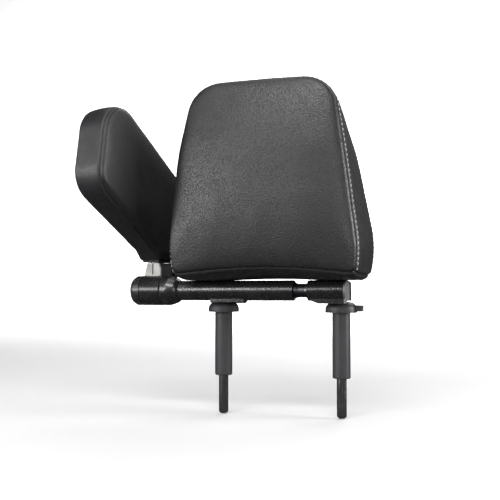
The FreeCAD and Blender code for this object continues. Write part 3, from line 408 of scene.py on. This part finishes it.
def spaced(length, step):
    """Fractions from 0 to 1: close rows beside both seams, then even steps between them."""
    rows = [0.5 * MM * number * (number + 1) / 2 for number in range(6)]
    near = [row / length for row in rows]
    inner = np.linspace(near[-1], 1 - near[-1], max(2, int((1 - 2 * near[-1]) * length / step)))
    return np.concatenate([near[:-1], inner, [1 - place for place in near[:-1]][::-1]])


def read_table(table, rows, columns, first, second):
    """Values of a grid known at some fractions of its sides, read at other fractions."""
    across = np.stack(
        [
            np.stack([np.interp(first, rows, table[:, j, k]) for j in range(table.shape[1])], axis=1)
            for k in range(table.shape[2])
        ],
        axis=2,
    )
    return np.stack(
        [
            np.stack([np.interp(second, columns, line[:, k]) for k in range(table.shape[2])], axis=1)
            for line in across
        ]
    )


def evened(table, rounds):
    """A grid's inner values averaged with their neighbours, which irons out creases."""
    for _ in range(rounds):
        sides = table[2:, 1:-1] + table[:-2, 1:-1] + table[1:-1, 2:] + table[1:-1, :-2]
        table[1:-1, 1:-1] = 0.5 * table[1:-1, 1:-1] + 0.125 * sides
    return table


class Pad:
    """A stuffed pad: a near panel, a far panel and four edge strips sewn between them.

    Local places are (a, b, c): a and b lie in the plane of the pad, c points to the near side.
    """

    def __init__(self, name, near, far, levels, crowns, sizes, corner_seams):
        self.name = name
        self.near = near
        self.far = far
        self.levels = levels
        self.crowns = crowns
        self.sizes = sizes
        self.corner_seams = corner_seams
        self.moved = {}

    def panel(self, sides, level, crown, us, vs):
        flat = filled(sides, us, vs)
        height = level(flat[..., 0], flat[..., 1]) + crown(us[:, None], vs[None, :])
        return np.concatenate([flat, height[..., None]], axis=2)

    def strip(self, side, ts, ws):
        near = along(self.near[side], ts)
        far = along(self.far[side], ts)
        w = ws[None, :, None]
        flat = (1 - w) * near[:, None, :2] + w * far[:, None, :2]
        flat = flat + near[:, None, 2:] * (4 * w * (1 - w)) ** 0.45
        near_c = self.levels[0](near[:, 0], near[:, 1])[:, None]
        far_c = self.levels[1](far[:, 0], far[:, 1])[:, None]
        depth = (1 - ws[None]) * near_c + ws[None] * far_c
        return np.concatenate([flat, depth[..., None]], axis=2)

    def patches(self, us, vs, ws):
        """The six grids, each with the fractions of its sides and whether its faces are turned."""
        return {
            "near": (self.panel(self.near, self.levels[0], self.crowns[0], us, vs), us, vs, False),
            "far": (self.panel(self.far, self.levels[1], self.crowns[1], us, vs), us, vs, True),
            "bottom": (self.strip(0, us, ws), us, ws, True),
            "right": (self.strip(1, vs, ws), vs, ws, True),
            "top": (self.strip(2, us, ws), us, ws, False),
            "left": (self.strip(3, vs, ws), vs, ws, False),
        }

    def weld(self, us, vs, ws):
        """One closed mesh from the six grids: places, faces and each grid's point numbers."""
        places, faces, index, known = [], [], {}, {}
        for name, (grid, first, second, turned) in self.patches(us, vs, ws).items():
            shift = 0.0
            if name in self.moved:
                shift = read_table(*self.moved[name], first, second)
            moved = grid + shift
            keys = np.round(grid / (0.01 * MM)).astype(int)
            numbers = np.zeros(grid.shape[:2], dtype=int)
            for i, j in np.ndindex(*numbers.shape):
                key = tuple(keys[i, j])
                if key not in known:
                    known[key] = len(places)
                    places.append(moved[i, j])
                numbers[i, j] = known[key]
            index[name] = numbers
            corners = (numbers[:-1, :-1], numbers[1:, :-1], numbers[1:, 1:], numbers[:-1, 1:])
            quads = np.stack([c.ravel() for c in corners], axis=1)
            faces.append(quads[:, ::-1] if turned else quads)
        return np.array(places), np.concatenate(faces), index

    def simulate(self, pressure, cap):
        """Let cloth swell between its pinned seams, and keep how far each point moved."""
        steps = [np.linspace(0, 1, max(6, int(size / CLOTH_CELL))) for size in self.sizes]
        us, vs, ws = steps
        places, faces, index = self.weld(*steps)
        piece = mesh_object(f"{self.name}_cloth", places, faces)
        group = piece.vertex_groups.new(name="seams")
        group.add([int(k) for k in self.seam_numbers(index)], 1.0, "REPLACE")
        cloth = piece.modifiers.new("Cloth", "CLOTH").settings
        cloth.vertex_group_mass = "seams"
        cloth.quality = 5
        cloth.mass = 0.25
        cloth.tension_stiffness = 18
        cloth.compression_stiffness = 18
        cloth.shear_stiffness = 8
        cloth.bending_stiffness = 1.0
        cloth.use_pressure = True
        cloth.uniform_pressure_force = pressure
        cloth.effector_weights.gravity = 0
        scene = bpy.context.scene
        for step in range(1, CLOTH_FRAMES + 1):
            scene.frame_set(step)
        settled = piece.evaluated_get(bpy.context.evaluated_depsgraph_get()).data
        moved = np.array([v.co[:] for v in settled.vertices]) - places
        bpy.data.objects.remove(piece)
        scene.frame_set(1)
        size = np.linalg.norm(moved, axis=1)
        print(f"{self.name} swelled by up to {size.max() / MM:.1f} mm, mean {size.mean() / MM:.1f} mm")
        moved *= np.minimum(1.0, cap / np.maximum(size, 1e-9))[:, None]
        sides = {"near": (us, vs), "far": (us, vs), "bottom": (us, ws), "top": (us, ws)}
        for key, numbers in index.items():
            self.moved[key] = (evened(moved[numbers], IRONING_ROUNDS), *sides.get(key, (vs, ws)))

    def seam_numbers(self, index):
        """The points on the seams: both panels' edges and, if sewn, the lower corners."""
        edges = []
        for key in ("near", "far"):
            numbers = index[key]
            edges += [numbers[0], numbers[-1], numbers[:, 0], numbers[:, -1]]
        if self.corner_seams:
            edges += [index["bottom"][0], index["bottom"][-1]]
        return np.unique(np.concatenate(edges))

    def build(self, to_frame, step):
        places, faces, index = self.weld(*(spaced(size, step) for size in self.sizes))
        return mesh_object(self.name, to_frame(places), faces), index


def mesh_object(name, places, faces):
    mesh = bpy.data.meshes.new(name)
    mesh.from_pydata([tuple(p) for p in places], [], [tuple(map(int, f)) for f in faces])
    mesh.polygons.foreach_set("use_smooth", [True] * len(mesh.polygons))
    mesh.update()
    piece = bpy.data.objects.new(name, mesh)
    bpy.context.scene.collection.objects.link(piece)
    return piece


def dress(piece, body, material):
    """Ride a piece on its body and give it its material."""
    piece.data.materials.append(material)
    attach(piece, body)
    return piece


# ------------------------------------------------------------------ seams, ripples and stitches
def places_of(piece):
    return np.array([v.co[:] for v in piece.data.vertices])


def normals_of(piece):
    return np.array([v.normal[:] for v in piece.data.vertices])


def displaced(piece, heights):
    """Move each point along its normal by its height."""
    places = places_of(piece) + normals_of(piece) * heights[:, None]
    piece.data.vertices.foreach_set("co", places.ravel())
    piece.data.update()


def rest_above(piece, level):
    """Flatten what hangs lower than a level, as padding that rests on a bar."""
    places = places_of(piece)
    places[:, 2] = np.maximum(places[:, 2], level)
    piece.data.vertices.foreach_set("co", places.ravel())
    piece.data.update()


def nearest(piece, targets):
    """For each point of a piece: the distance to the nearest target, and that target's place."""
    tree = KDTree(len(targets))
    for number, place in enumerate(targets):
        tree.insert(Vector(place), number)
    tree.balance()
    found = [tree.find(v.co) for v in piece.data.vertices]
    return np.array([f[2] for f in found]), np.array([f[0][:] for f in found])


def clouds(places, size, seed):
    """Smooth noise of two sizes at some places, about -1 to 1."""
    offset = Vector((seed, seed * 1.7, seed * 0.3))
    return np.array(
        [
            noise.noise(Vector(p) / size + offset) + 0.4 * noise.noise(Vector(p) / (size * 0.4) + offset)
            for p in places
        ]
    )


def sew(piece, seams, depth, width):
    """Draw the surface in at its seams, and pucker the leather beside them."""
    away, foot = nearest(piece, seams)
    groove = depth * np.exp(-((away / width) ** 1.3))
    beside = np.exp(-away / (6 * MM)) * (1 - np.exp(-away / (1.5 * MM)))
    pucker = 0.3 * MM * clouds(foot, 9 * MM, 5.0) * beside
    slack = 0.5 * MM * clouds(places_of(piece), 45 * MM, 3.0) * (1 - np.exp(-away / (12 * MM)))
    displaced(piece, pucker + slack - groove)


def seam_line(piece, index, legs, offset):
    """Places and normals on edge strips, at an offset from the near (or, if negative, far) seam."""
    places, normals = places_of(piece), normals_of(piece)
    path, facing = [], []
    for key, backward in legs:
        rows = index[key][::-1] if backward else index[key]
        for row in rows if offset > 0 else rows[:, ::-1]:
            gaps = np.linalg.norm(np.diff(places[row], axis=0), axis=1)
            reach = np.concatenate([[0.0], np.cumsum(gaps)])
            path.append([np.interp(abs(offset), reach, places[row][:, k]) for k in range(3)])
            facing.append([np.interp(abs(offset), reach, normals[row][:, k]) for k in range(3)])
    return np.array(path), np.array(facing)


STITCH_SIDES = 7
STITCH_RINGS = 6


def stitch_places(line, up, radius):
    """The points of one stitch: rings round a line that arches up and sinks at both ends."""
    ahead = line[-1] - line[0]
    ahead /= np.linalg.norm(ahead)
    places = []
    for ring in range(STITCH_RINGS):
        swell = math.sin(math.pi * ring / (STITCH_RINGS - 1))
        thick = radius * (0.35 + 0.65 * swell**0.5)
        centre = line[ring] + up[ring] * radius * (1.5 * swell - 0.7)
        side = np.cross(ahead, up[ring])
        for step in range(STITCH_SIDES):
            angle = 2 * math.pi * step / STITCH_SIDES
            places.append(centre + thick * (math.cos(angle) * side + math.sin(angle) * up[ring]))
    return places


def stitch_faces(first):
    """The faces of one stitch whose points start at a number: its wall and its two ends."""
    faces = []
    for low in range(first, first + (STITCH_RINGS - 1) * STITCH_SIDES, STITCH_SIDES):
        high = low + STITCH_SIDES
        for step in range(STITCH_SIDES):
            after = (step + 1) % STITCH_SIDES
            faces.append((low + step, low + after, high + after, high + step))
    last = first + (STITCH_RINGS - 1) * STITCH_SIDES
    faces.append(tuple(range(first, first + STITCH_SIDES))[::-1])
    faces.append(tuple(range(last, last + STITCH_SIDES)))
    return faces


def stitches(name, runs, pitch, length, radius):
    """Sewn thread along some runs: each stitch a small arched capsule sunk at both ends."""
    places, faces = [], []
    for path, facing in runs:
        gaps = np.linalg.norm(np.diff(path, axis=0), axis=1)
        reach = np.concatenate([[0.0], np.cumsum(gaps)])
        for number in range(int(reach[-1] / pitch)):
            start = number * pitch + 0.5 * pitch
            spots = np.linspace(start, min(start + length, reach[-1]), STITCH_RINGS)
            line = np.stack([np.interp(spots, reach, path[:, k]) for k in range(3)], axis=1)
            up = np.stack([np.interp(spots, reach, facing[:, k]) for k in range(3)], axis=1)
            up /= np.linalg.norm(up, axis=1)[:, None]
            faces += stitch_faces(len(places))
            places += stitch_places(line, up, radius)
    return mesh_object(name, places, faces)


# ------------------------------------------------------------------ head cushion
tube_low, tube_high = (np.array(c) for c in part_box("main_tube"))
bar_height = (tube_low[2] + tube_high[2]) / 2
gusset_low, gusset_high = (np.array(c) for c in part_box("cover_gusset"))
HEAD_TOP = gusset_high[2]
HEAD_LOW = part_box("cover_underside")[0][2]
FRONT_SEAM = -gusset_low[1]
REAR_SEAM = -gusset_high[1]
FRONT_SHIFT = -4.5 * MM
FRONT_SKEW = 6 * MM
FRONT_HALVES = (111.5 * MM, 113.5 * MM, 99 * MM, 85.5 * MM)
REAR_HALVES = (110 * MM, 117 * MM, 96 * MM, 69 * MM)
STITCH_OFFSET = 4.2 * MM


def head_outline(centre, halves, skew, top_drop, lift):
    """One end of the cushion, from its half widths at the foot, waist, chest and top."""
    low = HEAD_LOW + 5 * MM
    top = HEAD_TOP - top_drop
    foot, waist, chest, crest = halves
    right = [
        (foot, low, 10 * MM),
        (waist, HEAD_LOW + 38 * MM, 120 * MM),
        (chest, HEAD_LOW + 150 * MM, 300 * MM),
        (crest, top - 1.5 * MM, 42 * MM),
    ]
    roll = (0.0, 0.5 * skew, skew, 0.0)
    left = [(-half - extra, height, radius) for (half, height, radius), extra in zip(right, roll)]
    left.reverse()
    loop = dense(rounded_loop([*right, (0.0, top, 900 * MM), *left]))
    middle = np.clip(1 - (loop[:, 0] / foot) ** 2, 0, 1)
    loop[:, 1] += lift * middle * np.clip((low + 18 * MM - loop[:, 1]) / (18 * MM), 0, 1)
    below = np.clip((low + 12 * MM - loop[:, 1]) / (12 * MM), 0, 1) * middle**0.3
    turn = 12 * MM
    cuts = [(-foot, low), (foot, low), (crest - turn, top - turn), (turn - crest, top - turn)]
    shift = np.array([centre, 0.0])
    loop += shift
    return split_sides(swollen(loop, 2.6 * MM + 11 * MM * below), [shift + cut for cut in cuts])


def head_front_level(a, b):
    lean = np.clip((b - HEAD_LOW) / (HEAD_TOP - HEAD_LOW), 0, 1)
    return FRONT_SEAM - 3 * MM * lean**2


def head_rear_level(a, b):
    return REAR_SEAM + 16 * MM * np.clip((b - HEAD_LOW) / (HEAD_TOP - HEAD_LOW), 0, 1)


def head_crown(rise, low_power, high_power):
    """Padding that stands up from the seams, with a longer slope towards the top."""

    def crown(u, v):
        across = 1 - np.abs(2 * u - 1) ** 6
        up = np.where(v < 0.5, 1 - np.abs(2 * v - 1) ** low_power, 1 - np.abs(2 * v - 1) ** high_power)
        return rise * np.sqrt(np.clip(across * up, 0, 1))

    return crown


def build_head():
    pad = Pad(
        "head_cushion",
        head_outline(FRONT_SHIFT, FRONT_HALVES, FRONT_SKEW, 3 * MM, 8 * MM),
        head_outline(0.0, REAR_HALVES, 0.0, 8 * MM, 0.0),
        (head_front_level, head_rear_level),
        (head_crown(13 * MM, 3.2, 2.4), head_crown(-17 * MM, 4, 2.8)),
        (200 * MM, 232 * MM, 88 * MM),
        corner_seams=True,
    )
    pad.simulate(pressure=4.0, cap=4 * MM)

    def to_frame(p):
        return np.stack([p[:, 0], -p[:, 2], p[:, 1]], axis=1)

    piece, index = pad.build(to_frame, PAD_CELL)
    sew(piece, places_of(piece)[pad.seam_numbers(index)], 2.4 * MM, 1.5 * MM)
    rest_above(piece, tube_high[2])
    legs = (("left", False), ("top", False), ("right", True))
    lines = [seam_line(piece, index, legs, offset)[0] for offset in (STITCH_OFFSET, -STITCH_OFFSET)]
    away, _ = nearest(piece, np.concatenate(lines))
    displaced(piece, -0.45 * MM * np.exp(-((away / (1.0 * MM)) ** 2)))
    dress(piece, "headrest", HIDE)
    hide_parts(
        "headrest_foam", "cover_front", "cover_rear", "cover_gusset", "cover_underside"
    )
    runs = [seam_line(piece, index, legs, offset) for offset in (STITCH_OFFSET, -STITCH_OFFSET)]
    thread = stitches("head_topstitch", runs, 6.0 * MM, 4.2 * MM, 0.5 * MM)
    dress(thread, "headrest", THREAD)


# ------------------------------------------------------------------ side wing, about its yaw pin
pin_low, pin_high = (np.array(c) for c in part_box("yaw_pin"))
PIN = (pin_low + pin_high) / 2
WING_FLARE = math.radians(10)
WING_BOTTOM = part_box("wing_bottom_trim")[0][2] + 1.8 * MM
WING_CORNERS = [
    # (behind the pin, height, rounding), from the nose round by the bottom
    (-140 * MM, 148 * MM, 38 * MM),
    (-19 * MM, 75 * MM, 12 * MM),
    (-7.5 * MM, WING_BOTTOM, 3 * MM),
    (39 * MM, WING_BOTTOM, 14 * MM),
    (39 * MM, 172 * MM, 30 * MM),
    (-121.5 * MM, 271 * MM, 36 * MM),
]
BEVEL = 10 * MM


def wing_thinning(b):
    """0 above the nose and 1 at the bottom, where the wing is thinner."""
    return np.clip((135 * MM - b) / (70 * MM), 0, 1)


def wing_inner_level(a, b):
    return (13.5 - 2.5 * wing_thinning(b)) * MM


def wing_outer_level(a, b):
    return -(24.5 - 8 * wing_thinning(b)) * MM


def wing_inner_crown(u, v):
    """A flat face with quick edges, and a plain bevel along the lower edge."""
    edges = 1 - np.abs(2 * u - 1) ** 14
    upper = 1 - np.clip(2 * v - 1, 0, 1) ** 14
    slope = np.clip(v * 110 * MM / BEVEL, 0, 1)
    return 5 * MM * np.sqrt(np.clip(edges * upper, 0, 1)) * (1 - (1 - slope) ** 1.2)


def wing_outer_crown(u, v):
    return -4 * MM * np.sqrt(np.clip((1 - np.abs(2 * u - 1) ** 4) * (1 - np.abs(2 * v - 1) ** 4), 0, 1))


def build_wing():
    whole = dense(rounded_loop(WING_CORNERS))
    low = np.clip((whole[:, 1] - WING_BOTTOM) / (10 * MM), 0, 1)
    ends = [WING_CORNERS[number][:2] for number in (0, 3, 4, 5)]
    pad = Pad(
        "wing_pad",
        split_sides(swollen(drawn_in(whole, 2.5 * MM * low), 2.6 * MM * low), ends),
        split_sides(swollen(drawn_in(whole, 4.0 * MM * low), 0.0), ends),
        (wing_inner_level, wing_outer_level),
        (wing_inner_crown, wing_outer_crown),
        (185 * MM, 112 * MM, 36 * MM),
        corner_seams=False,
    )
    pad.simulate(pressure=3.0, cap=1.8 * MM)

    def to_frame(p):
        turn = np.array([[math.cos(WING_FLARE), math.sin(WING_FLARE)],
                         [-math.sin(WING_FLARE), math.cos(WING_FLARE)]])
        flat = np.stack([p[:, 2], p[:, 0]], axis=1) @ turn.T
        return np.stack([PIN[0] + flat[:, 0], PIN[1] + flat[:, 1], p[:, 1]], axis=1)

    piece, index = pad.build(to_frame, PAD_CELL)
    sew(piece, places_of(piece)[pad.seam_numbers(index)], 1.5 * MM, 1.1 * MM)
    dress(piece, "wing", WING_HIDE)
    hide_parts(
        "wing_foam_inner", "wing_foam_outer", "wing_cover_inner", "wing_gusset",
        "wing_cover_outer",
    )


# ------------------------------------------------------------------ camera, light, floor
TARGET = Vector((-36 * MM, -16 * MM, bar_height))
CAMERA_YAW = math.radians(17.0)
CAMERA_PITCH = math.radians(2.9)
CAMERA_DISTANCE = 1.0
LENS = 57.6
WORLD_STRENGTH = 0.03
SOFTBOXES = [
    # (name, spot, width, height, watts), all facing the target
    ("left_front", (-1.00, -1.20, 0.26), 0.80, 0.30, 11.5),
    ("bar_strip", (-0.42, -1.28, 0.45), 0.5, 0.10, 3.5),
    ("left_side", (-1.5, -0.55, 0.35), 0.5, 0.5, 6.0),
    ("right_front", (0.70, -1.25, 0.26), 0.22, 0.5, 4.0),
    ("right_side", (1.40, 0.10, 0.35), 0.6, 0.6, 22.0),
    ("upper_front", (0.05, -1.05, 1.05), 0.9, 0.25, 14.0),
    ("overhead", (-0.15, -0.10, 1.4), 1.2, 0.6, 5.0),
    ("rear_fill", (0.5, 1.5, 1.5), 1.2, 0.8, 16.0),
]
WASHES = [
    # (name, spot, aim, width, height, watts), narrow beams that whiten the paper
    ("backdrop_wash", (-1.0, 1.3, 2.0), (-1.1, 3.6, 0.7), 5.0, 0.6, 165.0),
    ("floor_wash", (-0.8, 1.6, 1.6), (-0.8, 1.9, 0.0), 4.5, 0.6, 32.0),
]
WASH_SPREAD = 110
FLOOR_HALF_WIDTH = 6.0
FLOOR_FRONT = -2.5
FLOOR_BACK = 4.0
FLOOR_BEND = 1.2
FLOOR_RISE = 5.0


def paper_sweep():
    """A strip of paper under the part that bends up behind it."""
    floor_z = cad_box[0][2] - 1 * MM
    profile = [(FLOOR_FRONT, 0.0)]
    for step in range(13):
        angle = math.pi / 2 * step / 12
        along_floor = FLOOR_BACK - FLOOR_BEND + FLOOR_BEND * math.sin(angle)
        profile.append((along_floor, FLOOR_BEND - FLOOR_BEND * math.cos(angle)))
    profile.append((FLOOR_BACK, FLOOR_RISE))
    places = [(x, y, floor_z + z) for y, z in profile for x in (-FLOOR_HALF_WIDTH, FLOOR_HALF_WIDTH)]
    faces = [(2 * k, 2 * k + 1, 2 * k + 3, 2 * k + 2) for k in range(len(profile) - 1)]
    floor = mesh_object("floor", places, faces)
    floor.data.materials.append(studio_paper())
    floor.visible_glossy = False


def softbox(name, spot, aim, width, height, power, spread=180):
    light = bpy.data.lights.new(name, "AREA")
    light.shape = "RECTANGLE"
    light.size = width
    light.size_y = height
    light.energy = power
    light.spread = math.radians(spread)
    lamp = bpy.data.objects.new(name, light)
    bpy.context.scene.collection.objects.link(lamp)
    lamp.location = spot
    lamp.rotation_euler = (Vector(spot) - aim).to_track_quat("Z", "Y").to_euler()


def dim_world():
    world = bpy.data.worlds.new("studio")
    bpy.context.scene.world = world
    world.use_nodes = True
    background = world.node_tree.nodes["Background"]
    background.inputs["Color"].default_value = (1.0, 1.0, 1.0, 1.0)
    background.inputs["Strength"].default_value = WORLD_STRENGTH


def place_camera():
    scene = bpy.context.scene
    camera_data = bpy.data.cameras.new("camera")
    camera_data.sensor_width = 36.0
    camera_data.lens = LENS
    camera = bpy.data.objects.new("camera", camera_data)
    scene.collection.objects.link(camera)
    backward = Vector((math.sin(CAMERA_YAW), -math.cos(CAMERA_YAW), 0))
    camera.location = TARGET + backward * CAMERA_DISTANCE
    camera.rotation_euler = (math.pi / 2 + CAMERA_PITCH, 0, CAMERA_YAW)
    scene.camera = camera
    scene.view_settings.view_transform = "Standard"


def studio():
    paper_sweep()
    dim_world()
    for name, spot, width, height, power in SOFTBOXES:
        softbox(name, spot, TARGET, width, height, power)
    for name, spot, aim, width, height, power in WASHES:
        softbox(name, spot, Vector(aim), width, height, power, WASH_SPREAD)
    place_camera()


finish_nodes()
build_head()
build_wing()
studio()
